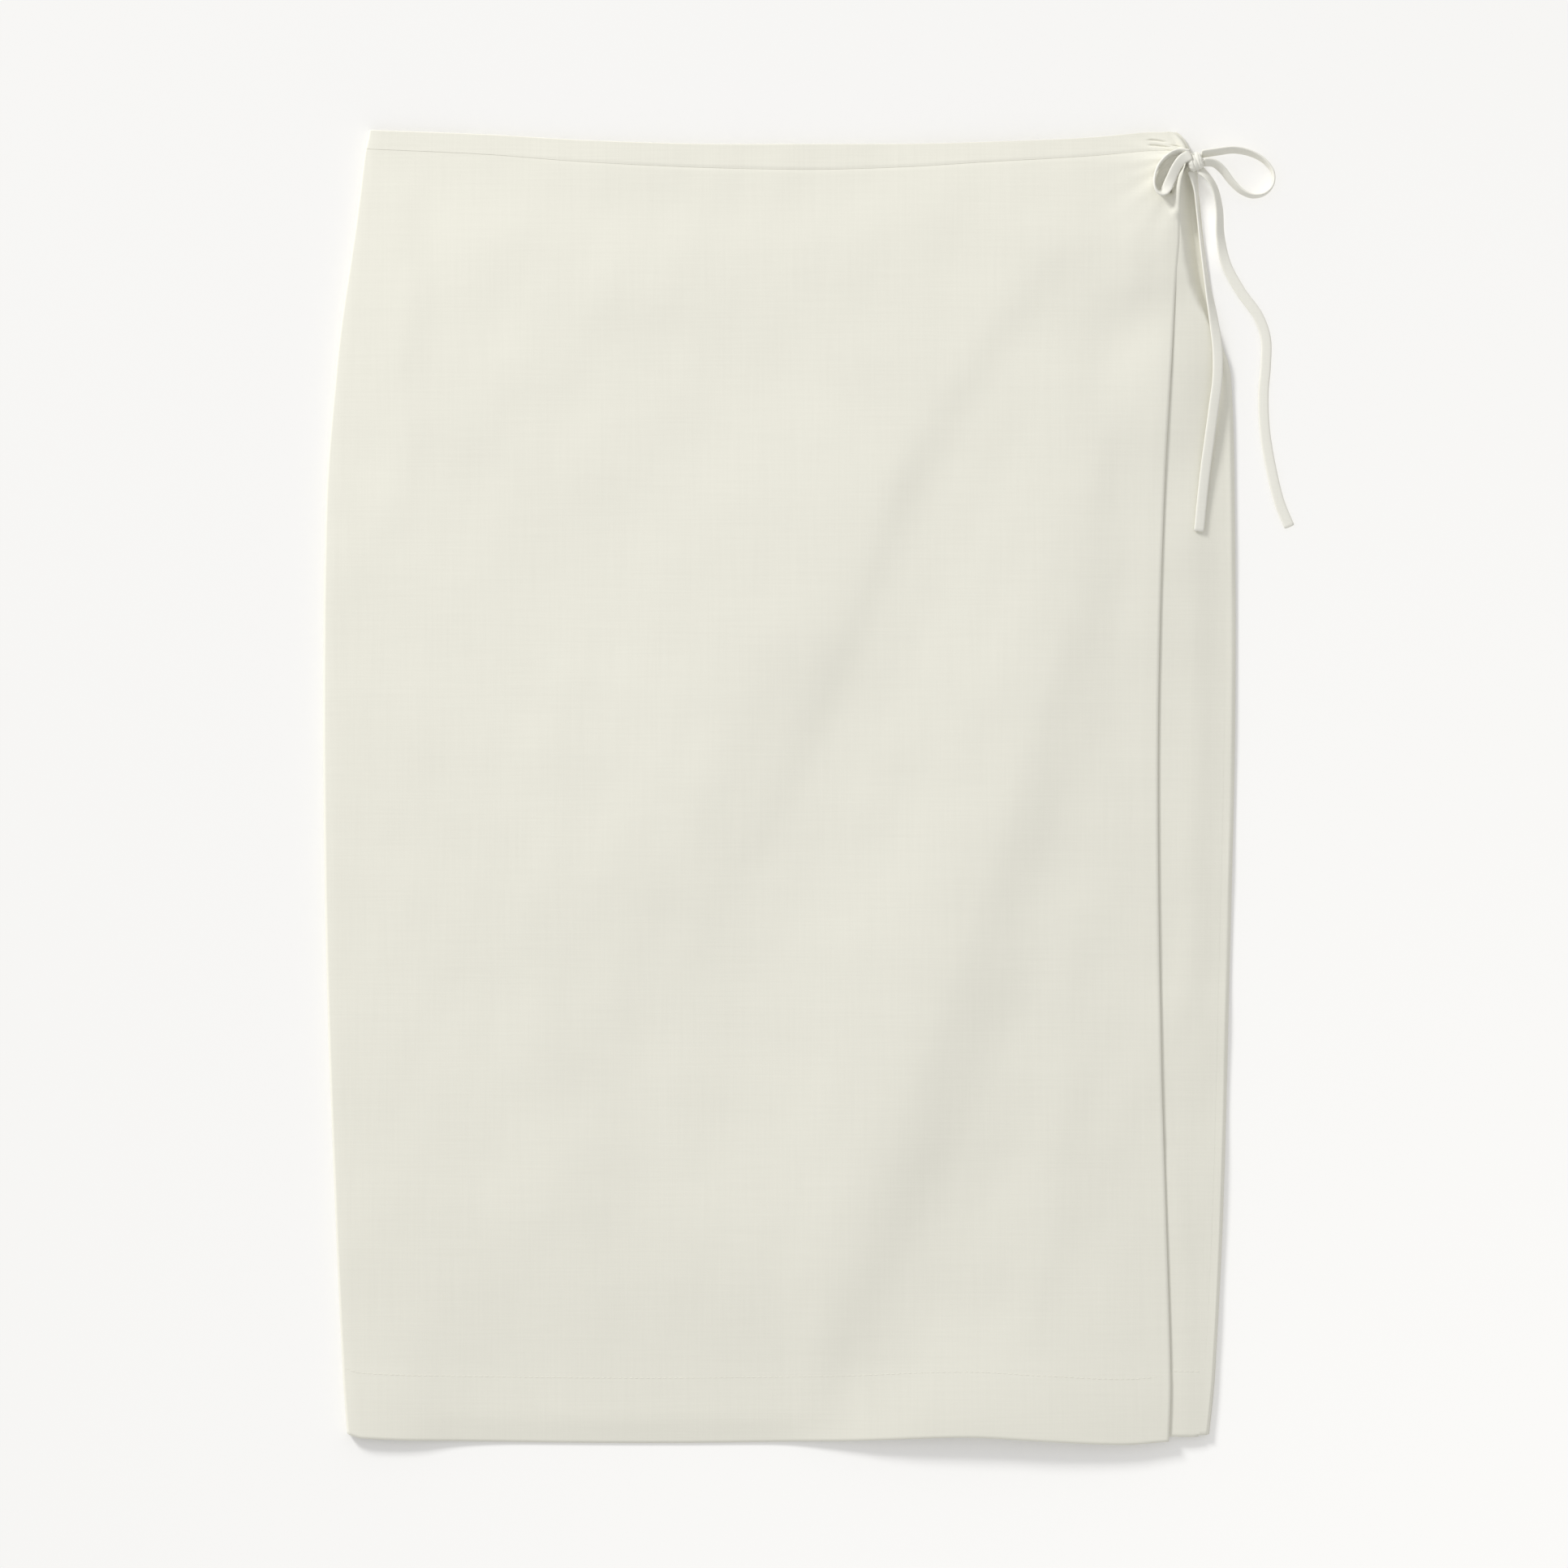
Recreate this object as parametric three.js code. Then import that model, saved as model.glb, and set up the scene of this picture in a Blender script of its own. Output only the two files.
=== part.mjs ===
// A wrap skirt of plain woven cloth, laid flat with its back underneath and closed by a small bow at one
// top corner. Millimetres: X runs across the skirt, Y from the hem to the waist, Z up from the surface.
// "down" is the distance below the level of the two waist corners.
import * as THREE from "three";

// Cloth and layers
const panelWall = 1.2;
const bandWall = 1.6;
const seamGap = 0.3;
const layerPitch = bandWall + seamGap;
const backLevel = { panel: panelWall / 2, band: bandWall / 2 };
const underLevel = bandWall + seamGap + bandWall / 2;
const overLevel = underLevel + layerPitch;
const underShareOfFolds = 0.5;

// Folds at the two sides, and where the seams lie
const foldReach = 2.2;
const leftSeamInset = 5.2;
const rightSeamInset = 5.9;
const sideStation = 229;
const underFreeEdge = -168;

// Straps of the bow
const tieWidth = 5.6;
const tieThickness = 1.6;
const loopThickness = 2.6;
const loopHeight = 4.6;
const knotCentre = { x: 223, down: 17.6, z: 7.9 };
const knotHalf = { x: 4.4, y: 5.3, z: 3.6 };

// Grid of the walls
const panelRows = 36;
const rowCrowding = 1.3;
const bandRows = 3;
const curlSteps = 6;
const overColumns = 34;
const underColumns = 17;
const backColumns = 9;

const clothColour = 0xe5e3d7;

// How far the laid skirt reaches to each side of its centre line
const outline = [
  { down: 0, left: 222.3, right: 210.5 },
  { down: 14, left: 225.0, right: 222.3 },
  { down: 35, left: 227.5, right: 225.8 },
  { down: 61, left: 231.0, right: 228.5 },
  { down: 96, left: 236.2, right: 233.4 },
  { down: 116, left: 238.8, right: 238.4 },
  { down: 130, left: 240.2, right: 242.8 },
  { down: 193, left: 245.2, right: 245.0 },
  { down: 320, left: 246.8, right: 245.2 },
  { down: 455, left: 245.0, right: 241.6 },
  { down: 586, left: 240.3, right: 238.0 },
  { down: 672, left: 236.3, right: 233.3 },
  { down: 706, left: 233.8, right: 230.6 },
];

// Free edge of the over front, from the waist seam to the hem
const wrapEdge = [
  { down: 0, x: 209.5 },
  { down: 10, x: 217.4 },
  { down: 22, x: 217.4 },
  { down: 32, x: 214.9 },
  { down: 60, x: 214.4 },
  { down: 77, x: 213.0 },
  { down: 122, x: 210.4 },
  { down: 175, x: 207.4 },
  { down: 263, x: 204.1 },
  { down: 367, x: 203.1 },
  { down: 499, x: 204.9 },
  { down: 586, x: 207.5 },
  { down: 676, x: 210.0 },
  { down: 707, x: 209.0 },
];

// Top edge of the waist band and the seam below it
const waistLine = [
  { x: -223, edge: 0.2, seam: 10.2 },
  { x: -158, edge: 2.7, seam: 13.2 },
  { x: -106, edge: 5.7, seam: 17.2 },
  { x: -45, edge: 7.6, seam: 20.1 },
  { x: 17, edge: 7.7, seam: 21.3 },
  { x: 69, edge: 7.6, seam: 19.9 },
  { x: 104, edge: 6.9, seam: 17.9 },
  { x: 165, edge: 4.4, seam: 14.3 },
  { x: 209, edge: 0.2, seam: 10.4 },
  { x: 223, edge: 0.2, seam: 10.4 },
];

// Lower edge of each panel
const hemLine = [
  { x: -234, over: 702.6, under: 702, back: 701.6 },
  { x: -228, over: 705.0, under: 703, back: 703.8 },
  { x: -176, over: 707.0, under: 704, back: 705.6 },
  { x: -70, over: 708.1, under: 704, back: 706.6 },
  { x: 25, over: 706.9, under: 704, back: 705.6 },
  { x: 100, over: 704.3, under: 703, back: 703.0 },
  { x: 144, over: 706.6, under: 704, back: 705.2 },
  { x: 185, over: 708.4, under: 704, back: 705.0 },
  { x: 209, over: 706.9, under: 704.3, back: 703.6 },
  { x: 229, over: 706.5, under: 704.3, back: 703.6 },
  { x: 236, over: 706.5, under: 702.2, back: 702.6 },
];

// Soft folds: each crest runs from its start past its bend to its end and falls away on either side
const folds = [
  { startX: 186, startDown: 70, bendX: 154, bendDown: 330, endX: 12, endDown: 650, height: 4.2, left: 62, right: 30 },
  { startX: 140, startDown: 66, bendX: 26, bendDown: 205, endX: -56, endDown: 400, height: 2.6, left: 70, right: 34 },
  { startX: -182, startDown: 108, bendX: -92, bendDown: 170, endX: -10, endDown: 262, height: 1.3, left: 44, right: 40 },
  { startX: 118, startDown: 30, bendX: -20, bendDown: 96, endX: -150, endDown: 66, height: 1.1, left: 26, right: 30 },
  { startX: 212, startDown: 28, bendX: 206, bendDown: 46, endX: 190, endDown: 78, height: 2.6, left: 24, right: 18 },
  { startX: -232, startDown: 706, bendX: -222, bendDown: 700, endX: -206, endDown: 706, height: 1.8, left: 34, right: 34 },
  { startX: 70, startDown: 706, bendX: 120, bendDown: 690, endX: 190, endDown: 708, height: 1.8, left: 40, right: 40 },
];

// Reads a smooth value from a table with ordered rows
function readTable(table, where, value, at) {
  const last = table.length - 1;
  const next = table.findIndex((row) => row[where] > at);
  if (next === 0) return table[0][value];
  if (next < 0) return table[last][value];
  const slope = (index) => {
    const before = table[Math.max(index - 1, 0)];
    const after = table[Math.min(index + 1, last)];
    return (after[value] - before[value]) / (after[where] - before[where]);
  };
  const from = table[next - 1];
  const to = table[next];
  const span = to[where] - from[where];
  const t = (at - from[where]) / span;
  const rise = t * t * (3 - 2 * t);
  const leave = t * (1 - t) * (1 - t) * span * slope(next - 1);
  const arrive = t * t * (t - 1) * span * slope(next);
  return from[value] + (to[value] - from[value]) * rise + leave + arrive;
}

// Height that one fold adds at a point
function foldHeight(fold, x, down) {
  const start = new THREE.Vector2(fold.startX, fold.startDown);
  const bend = new THREE.Vector2(fold.bendX, fold.bendDown);
  const end = new THREE.Vector2(fold.endX, fold.endDown);
  const crest = new THREE.QuadraticBezierCurve(start, bend, end).getPoints(16);
  let nearest = { distance: Infinity, side: 0 };
  for (let i = 0; i < crest.length - 1; i += 1) {
    const along = crest[i + 1].clone().sub(crest[i]);
    const to = new THREE.Vector2(x, down).sub(crest[i]);
    const share = THREE.MathUtils.clamp(to.dot(along) / along.lengthSq(), 0, 1);
    const away = to.sub(along.clone().multiplyScalar(share));
    const distance = away.length();
    if (distance < nearest.distance) {
      const side = distance > 0 ? along.cross(away) / (along.length() * distance) : 0;
      nearest = { distance, side };
    }
  }
  const width = THREE.MathUtils.lerp(fold.right, fold.left, (nearest.side + 1) / 2);
  return fold.height * Math.exp(-((nearest.distance / width) ** 2));
}

function relief(x, down) {
  return folds.reduce((sum, fold) => sum + foldHeight(fold, x, down), 0);
}

const overHeight = (x, down) => overLevel + relief(x, down);
const underHeight = (x, down) => underLevel + underShareOfFolds * relief(x, down);

// Closed wall about a grid of middle points: rows run from the waist down, columns along each section
function clothWall(rows, thickness) {
  const height = rows.length;
  const width = rows[0].length;
  const positions = [];
  for (const side of [1, -1]) {
    for (const row of rows) {
      row.forEach((point, column) => {
        const before = row[Math.max(column - 1, 0)];
        const after = row[Math.min(column + 1, width - 1)];
        const length = Math.hypot(after.x - before.x, after.z - before.z);
        const push = (side * thickness) / 2 / length;
        positions.push(
          point.x - (after.z - before.z) * push,
          point.y,
          point.z + (after.x - before.x) * push,
        );
      });
    }
  }
  const upper = (i, j) => i * width + j;
  const lower = (i, j) => height * width + i * width + j;
  const faces = [];
  for (let i = 0; i < height - 1; i += 1) {
    for (let j = 0; j < width - 1; j += 1) {
      faces.push(upper(i, j), upper(i + 1, j), upper(i, j + 1));
      faces.push(upper(i, j + 1), upper(i + 1, j), upper(i + 1, j + 1));
      faces.push(lower(i, j), lower(i, j + 1), lower(i + 1, j));
      faces.push(lower(i, j + 1), lower(i + 1, j + 1), lower(i + 1, j));
    }
  }
  const rim = (i, j, k, l) => {
    faces.push(upper(k, l), upper(i, j), lower(i, j));
    faces.push(upper(k, l), lower(i, j), lower(k, l));
  };
  for (let j = 0; j < width - 1; j += 1) {
    rim(0, j + 1, 0, j);
    rim(height - 1, j, height - 1, j + 1);
  }
  for (let i = 0; i < height - 1; i += 1) {
    rim(i, 0, i + 1, 0);
    rim(i + 1, width - 1, i, width - 1);
  }
  const geometry = new THREE.BufferGeometry();
  geometry.setAttribute("position", new THREE.Float32BufferAttribute(positions, 3));
  geometry.setIndex(faces);
  return geometry;
}

// Sections: each gives the x and z of a wall's middle at one level

const share = (count) => Array.from({ length: count }, (_, i) => i / (count - 1));

// Half turn of cloth round a side fold, from the bottom layer up; "toward" is -1 at the left, 1 at the right
function sideCurl(centreX, bottom, top, toward) {
  return share(curlSteps + 1).map((t) => ({
    x: centreX + toward * foldReach * Math.sin(Math.PI * t),
    z: (top + bottom) / 2 - ((top - bottom) / 2) * Math.cos(Math.PI * t),
  }));
}

const leftReach = (level) => -readTable(outline, "down", "left", level.left);
const rightReach = (level) => readTable(outline, "down", "right", level.right);

function overSection(level, wall, bottom) {
  const seamX = leftReach(level) + leftSeamInset;
  const foldX = leftReach(level) + foldReach + wall / 2;
  const edgeX = readTable(wrapEdge, "down", "x", level.right);
  const curl = sideCurl(foldX, bottom, overHeight(foldX, level.left), -1);
  const across = share(overColumns).slice(1).map((t) => {
    const x = THREE.MathUtils.lerp(foldX, edgeX, t);
    return { x, z: overHeight(x, THREE.MathUtils.lerp(level.left, level.right, t)) };
  });
  return [{ x: seamX, z: bottom }, ...curl, ...across];
}

function underSection(level) {
  const seamX = rightReach(level) - rightSeamInset - seamGap;
  return share(underColumns).map((t) => {
    const x = THREE.MathUtils.lerp(underFreeEdge, seamX, t);
    return { x, z: underHeight(x, level.right) };
  });
}

function backSection(level, wall, bottom) {
  const seamX = leftReach(level) + leftSeamInset + seamGap;
  const foldX = rightReach(level) - foldReach - wall / 2;
  const flat = share(backColumns).slice(0, -1).map((t) => ({
    x: THREE.MathUtils.lerp(seamX, foldX, t),
    z: bottom,
  }));
  const curl = sideCurl(foldX, bottom, underHeight(foldX, level.right), 1);
  const sideSeam = rightReach(level) - rightSeamInset;
  return [...flat, ...curl, { x: sideSeam, z: underHeight(sideSeam, level.right) }];
}

// A wall between two lines: "top" and "bottom" give the distance down at an x, "v" runs from one to the other
function rowsBetween(section, top, bottom, steps) {
  return steps.map((v) => {
    const downAt = (x) => THREE.MathUtils.lerp(top(x), bottom(x), v);
    const level = { left: downAt(-sideStation), right: downAt(sideStation) };
    return section(level).map(({ x, z }) => ({ x, y: -downAt(x), z }));
  });
}

// A panel hangs from the waist seam and a band stands on it, half a seam gap clear on either side
function panelRowsFor(section, hemName) {
  const seam = (x) => readTable(waistLine, "x", "seam", x) + seamGap / 2;
  const hem = (x) => readTable(hemLine, "x", hemName, x);
  return rowsBetween(section, seam, hem, share(panelRows).map((t) => t ** rowCrowding));
}

function bandRowsFor(section, drop) {
  const edge = (x) => readTable(waistLine, "x", "edge", x) + drop;
  const seam = (x) => readTable(waistLine, "x", "seam", x) - seamGap / 2;
  return rowsBetween(section, edge, seam, share(bandRows));
}

function piece(name, geometry) {
  const material = new THREE.MeshStandardMaterial({ color: clothColour, roughness: 0.92, metalness: 0 });
  const mesh = new THREE.Mesh(geometry, material);
  mesh.name = name;
  return mesh;
}

// Straps: flat woven tubes with rounded edges, swept along their routes

const tieEndOnFloor = [
  { x: 226.0, down: 21.9, z: 7.0 },
  { x: 229.6, down: 25.2, z: 7.0 },
  { x: 233.6, down: 31, z: 6.0 },
  { x: 236.4, down: 42, z: 3.8 },
  { x: 237.2, down: 57, z: 1.8 },
  { x: 240.4, down: 72, z: 1.2 },
  { x: 248.5, down: 87, z: 1.0 },
  { x: 257.7, down: 100, z: 1.0 },
  { x: 261.8, down: 112, z: 1.0 },
  { x: 261.8, down: 127, z: 1.0 },
  { x: 260.6, down: 142, z: 1.0 },
  { x: 261.4, down: 162, z: 1.0 },
  { x: 265.1, down: 184, z: 1.0 },
  { x: 269.4, down: 201, z: 1.0 },
  { x: 274.6, down: 213.6, z: 1.0 },
];

const tieEndOnSkirt = [
  { x: 220.9, down: 23.45, z: 8.0 },
  { x: 221.8, down: 31, z: 8.0 },
  { x: 223.8, down: 44, z: 6.6 },
  { x: 226.2, down: 60, z: 5.4 },
  { x: 229.2, down: 80, z: 5.2 },
  { x: 232.8, down: 100, z: 5.0 },
  { x: 235.2, down: 118, z: 4.9 },
  { x: 235.2, down: 134, z: 4.8 },
  { x: 233.2, down: 150, z: 4.8 },
  { x: 230.8, down: 168, z: 4.8 },
  { x: 228.6, down: 185, z: 4.8 },
  { x: 226.8, down: 202, z: 4.8 },
  { x: 225.4, down: 216.2, z: 4.8 },
];

const rightLoop = [
  { x: 226.8, down: 13.4, z: 8.8 },
  { x: 235.4, down: 12.0, z: 9.2 },
  { x: 244.1, down: 10.8, z: 7.4 },
  { x: 252.9, down: 12.2, z: 5.0 },
  { x: 260.8, down: 16.4, z: 3.2 },
  { x: 265.6, down: 23.0, z: 2.5 },
  { x: 265.4, down: 29.6, z: 2.5 },
  { x: 261.2, down: 34.2, z: 2.5 },
  { x: 254.8, down: 35.4, z: 2.6 },
  { x: 248.6, down: 32.8, z: 3.4 },
  { x: 243.0, down: 27.6, z: 5.0 },
  { x: 238.2, down: 21.8, z: 7.2 },
  { x: 233.4, down: 18.2, z: 8.8 },
  { x: 227.9, down: 17.6, z: 8.8 },
];

const leftLoop = [
  { x: 219.4, down: 13.0, z: 10.4 },
  { x: 213.2, down: 12.8, z: 10.6 },
  { x: 207.4, down: 15.4, z: 11.0 },
  { x: 202.8, down: 20.6, z: 11.6 },
  { x: 200.6, down: 27.2, z: 12.2 },
  { x: 201.8, down: 33.2, z: 12.8 },
  { x: 205.4, down: 35.6, z: 12.9 },
  { x: 209.2, down: 33.2, z: 12.6 },
  { x: 212.6, down: 27.4, z: 12.0 },
  { x: 216.0, down: 21.4, z: 11.4 },
  { x: 218.3, down: 19.6, z: 11.0 },
];

// Section with eight sides: "across" lies in the plane of the bow and "up" stands off the surface
function strapSection(up, across) {
  const bevel = 0.3;
  const x = up / 2;
  const y = across / 2;
  const corners = [
    [x, y * (1 - bevel)], [x * (1 - bevel), y], [-x * (1 - bevel), y], [-x, y * (1 - bevel)],
    [-x, -y * (1 - bevel)], [-x * (1 - bevel), -y], [x * (1 - bevel), -y], [x, -y * (1 - bevel)],
  ];
  return new THREE.Shape(corners.map(([a, b]) => new THREE.Vector2(a, b)));
}

function strap(route, up, across, step) {
  const points = route.map(({ x, down, z }) => new THREE.Vector3(x, -down, z));
  const path = new THREE.CatmullRomCurve3(points, false, "centripetal");
  const steps = Math.round(path.getLength() / step);
  return new THREE.ExtrudeGeometry(strapSection(up, across), { steps, bevelEnabled: false, extrudePath: path });
}

// Knot: a rounded wrap of cloth with a shallow waist where the strap crosses it
function knotGeometry() {
  const geometry = new THREE.SphereGeometry(1, 16, 10);
  const position = geometry.attributes.position;
  const point = new THREE.Vector3();
  const waistDepth = 0.14;
  for (let i = 0; i < position.count; i += 1) {
    point.fromBufferAttribute(position, i);
    const pinch = 1 - waistDepth * Math.exp(-(((point.x - point.y) / 0.35) ** 2));
    position.setXYZ(
      i,
      knotCentre.x + point.x * knotHalf.x * pinch,
      -knotCentre.down + point.y * knotHalf.y * pinch,
      knotCentre.z + point.z * knotHalf.z,
    );
  }
  return geometry;
}

const overPanel = (level) => overSection(level, panelWall, backLevel.panel);
const overBand = (level) => overSection(level, bandWall, backLevel.band);
const backPanel = (level) => backSection(level, panelWall, backLevel.panel);
const backBand = (level) => backSection(level, bandWall, backLevel.band);
const hiddenDrop = 0.8;

const skirt = new THREE.Group();
skirt.add(
  piece("back_panel", clothWall(panelRowsFor(backPanel, "back"), panelWall)),
  piece("under_front_panel", clothWall(panelRowsFor(underSection, "under"), panelWall)),
  piece("over_front_panel", clothWall(panelRowsFor(overPanel, "over"), panelWall)),
  piece("waist_band_back", clothWall(bandRowsFor(backBand, hiddenDrop), bandWall)),
  piece("waist_band_under", clothWall(bandRowsFor(underSection, hiddenDrop), bandWall)),
  piece("waist_band_over", clothWall(bandRowsFor(overBand, 0), bandWall)),
  piece("tie_knot", knotGeometry()),
);

// The origin is at the bottom centre of the skirt itself, without the loose straps
const box = new THREE.Box3().setFromObject(skirt);
const centre = box.getCenter(new THREE.Vector3());
skirt.add(
  piece("bow_loop_right", strap(rightLoop, loopHeight, loopThickness, 4)),
  piece("bow_loop_left", strap(leftLoop, loopHeight, loopThickness, 4)),
  piece("tie_end_over_floor", strap(tieEndOnFloor, tieThickness, tieWidth, 8)),
  piece("tie_end_over_skirt", strap(tieEndOnSkirt, tieThickness, tieWidth, 8)),
);
skirt.position.set(-centre.x, -centre.y, 0);

export default skirt;
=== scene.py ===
# Wrap skirt laid flat on a pale surface, seen from straight above. The tables are in millimetres.
import math

import bpy
import numpy as np
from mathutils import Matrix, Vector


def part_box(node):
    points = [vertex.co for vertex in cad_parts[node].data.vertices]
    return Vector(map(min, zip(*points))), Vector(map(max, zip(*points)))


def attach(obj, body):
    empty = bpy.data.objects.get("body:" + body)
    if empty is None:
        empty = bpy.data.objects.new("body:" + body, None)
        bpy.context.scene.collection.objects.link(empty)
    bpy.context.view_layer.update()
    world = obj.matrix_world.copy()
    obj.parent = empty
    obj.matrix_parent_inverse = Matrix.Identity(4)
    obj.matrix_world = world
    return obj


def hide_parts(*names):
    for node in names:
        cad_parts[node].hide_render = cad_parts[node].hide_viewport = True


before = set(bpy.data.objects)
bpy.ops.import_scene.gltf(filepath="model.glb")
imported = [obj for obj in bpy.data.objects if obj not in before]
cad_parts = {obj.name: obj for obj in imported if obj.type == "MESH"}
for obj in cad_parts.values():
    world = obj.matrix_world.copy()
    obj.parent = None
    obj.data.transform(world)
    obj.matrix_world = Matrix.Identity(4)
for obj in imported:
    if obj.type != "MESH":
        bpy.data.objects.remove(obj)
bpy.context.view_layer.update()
mm = 0.001

# The tables use the skirt's own frame: x from its centre line, down from its waist corners
outline = {
    "down": [0, 3, 6.5, 14, 35, 61, 96, 116, 130, 193, 320, 455, 586, 672, 706],
    "left": [222.3, 222.8, 223.5, 225.0, 227.5, 231.0, 236.2, 238.8, 240.2, 245.2, 246.8, 245.0, 240.3,
             236.3, 233.8],
    "right": [210.9, 215.9, 218.9, 222.3, 225.8, 228.5, 233.4, 238.4, 242.8, 245.0, 245.3, 242.3, 238.8,
              234.4, 231.0],
}
wrapEdge = {
    "down": [0, 1, 3, 6.5, 12, 22, 32, 60, 77, 122, 175, 263, 367, 499, 586, 676, 707],
    "x": [209.8, 212.6, 215.4, 217.6, 218.0, 217.4, 214.9, 214.4, 213.0, 210.4, 207.4, 204.1, 203.1, 204.9,
          207.5, 210.0, 209.0],
}
waistLine = {
    "x": [-223, -158, -106, -45, 17, 69, 104, 165, 209, 223],
    "edge": [0.2, 2.7, 5.7, 7.6, 7.7, 7.6, 6.9, 4.4, 0.2, 0.2],
    "seam": [10.2, 13.2, 17.2, 20.1, 21.3, 19.9, 17.9, 14.3, 10.4, 10.4],
    "dip": [0.0, 0.02, 0.14, 0.2, 0.2, 0.2, 0.2, 0.2, 0.25, 0.25],
}
hemLine = {
    "x": [-234, -228, -176, -70, 25, 100, 144, 185, 209, 229, 236],
    "over": [702.6, 705.0, 707.0, 708.1, 706.9, 704.3, 706.6, 708.4, 706.9, 706.5, 706.5],
    "under": [702, 702, 699, 697, 698, 702, 704, 704, 704.3, 704.3, 702.2],
    "back": [701.6, 703.8, 701, 698.6, 699.6, 703.0, 705.2, 705.0, 703.6, 703.6, 702.6],
}

# Soft folds: a crest from its start past its bend to its end, and how far it falls away on each side.
# The first list is close to the one in the solids, the others are the cloth's smaller troughs and ridges.
bigFolds = [
    {"crest": [(186, 70), (154, 330), (12, 650)], "height": 4.2, "left": 62, "right": 30},
    {"crest": [(140, 66), (26, 205), (-56, 400)], "height": 2.6, "left": 70, "right": 34},
    {"crest": [(-182, 108), (-92, 170), (-10, 262)], "height": 1.3, "left": 44, "right": 40},
    {"crest": [(118, 30), (-20, 96), (-150, 66)], "height": 1.1, "left": 26, "right": 30},
    {"crest": [(212, 28), (206, 46), (190, 78)], "height": 2.6, "left": 24, "right": 18},
    {"crest": [(-232, 706), (-222, 700), (-206, 706)], "height": 1.8, "left": 34, "right": 34},
    {"crest": [(70, 706), (120, 690), (190, 708)], "height": 1.8, "left": 40, "right": 40},
]
overCreases = [
    {"crest": [(-205, 40), (-196, 120), (-206, 210)], "height": 0.35, "left": 12, "right": 9},
    {"crest": [(-120, 300), (-140, 420), (-118, 560)], "height": 0.4, "left": 24, "right": 16},
    {"crest": [(-60, 430), (-88, 520), (-74, 640)], "height": -0.4, "left": 18, "right": 20},
    {"crest": [(150, 430), (158, 520), (134, 640)], "height": 0.5, "left": 20, "right": 14},
    {"crest": [(60, 190), (24, 300), (-14, 380)], "height": 0.45, "left": 16, "right": 11},
    {"crest": [(176, 130), (188, 230), (180, 330)], "height": -0.4, "left": 12, "right": 16},
    {"crest": [(217, 26), (215, 44), (211, 76)], "height": 0.6, "left": 9, "right": 9},
    {"crest": [(213, 88), (211, 118), (208, 155)], "height": 1.3, "left": 18, "right": 22},
    {"crest": [(208, 130), (204, 190), (196, 270)], "height": 1.2, "left": 22, "right": 26},
    {"crest": [(204, 230), (196, 290), (178, 370)], "height": 0.9, "left": 24, "right": 26},
    {"crest": [(190, 52), (194, 74), (186, 104)], "height": -1.8, "left": 30, "right": 26},
    {"crest": [(217.0, 18.5), (213.5, 27), (212.4, 44)], "height": 2.2, "left": 1.1, "right": 5},
    {"crest": [(150, 84), (106, 140), (74, 196)], "height": -0.7, "left": 15, "right": 17},
    {"crest": [(221.2, 13.4), (216.0, 20.2), (210.0, 34.2)], "height": -6.5, "left": 1.2, "right": 0.6},
]
# Where the band is drawn into the knot it puckers
puckers = [
    {"crest": [(199, 5.2), (203, 5.2), (207, 5.4)], "height": -0.8, "left": 0.45, "right": 0.45},
    {"crest": [(199, 8.1), (204, 8.0), (209, 8.4)], "height": -0.8, "left": 0.5, "right": 0.5},
    {"crest": [(210.5, 6.7), (212.5, 6.9), (214.5, 7.0)], "height": -0.7, "left": 0.45, "right": 0.45},
]
stripCreases = [
    {"crest": [(222, 210), (226, 330), (220, 470)], "height": 0.35, "left": 8, "right": 8},
    {"crest": [(212, 560), (220, 630), (217, 704)], "height": 0.4, "left": 9, "right": 7},
]
backCreases = [
    {"crest": [(-150, 120), (-40, 260), (60, 330)], "height": 0.5, "left": 20, "right": 14},
    {"crest": [(170, 90), (120, 300), (10, 520)], "height": 0.6, "left": 26, "right": 18},
    {"crest": [(-190, 360), (-170, 480), (-186, 620)], "height": 0.4, "left": 16, "right": 12},
    {"crest": [(150, 420), (160, 540), (140, 660)], "height": 0.4, "left": 14, "right": 12},
]

# Thicknesses and levels of the cloth, how much of the big folds it shows, and its seams and turned edges
wall = {
    "cloth": 0.6, "band": 0.9, "hem": 0.18, "hemDeep": 36.0, "turned": 0.12, "turnedWide": 10.0,
    "back": 0.35, "backBand": 0.5, "underLevel": 2.7, "overLevel": 4.9, "bigFolds": 0.86,
    "seamSoft": 0.9, "seamGap": 0.01,
}
# Where the folded sides and the side seams lie, and what share of the folds above it the under front takes
fold = {
    "side": 229, "reach": 1.3, "leftSeam": 5.2, "leftSteps": 15, "rightSeam": 5.9, "turn": 0.25,
    "rightSteps": 9, "sideGap": 0.015, "underEdge": -168, "underShare": 0.5,
}
# How far the rim of a shell reaches out: a folded or free edge is round, a sewn one is nearly square
rounds = {"free": 0.3, "sewn": 0.04}
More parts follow.
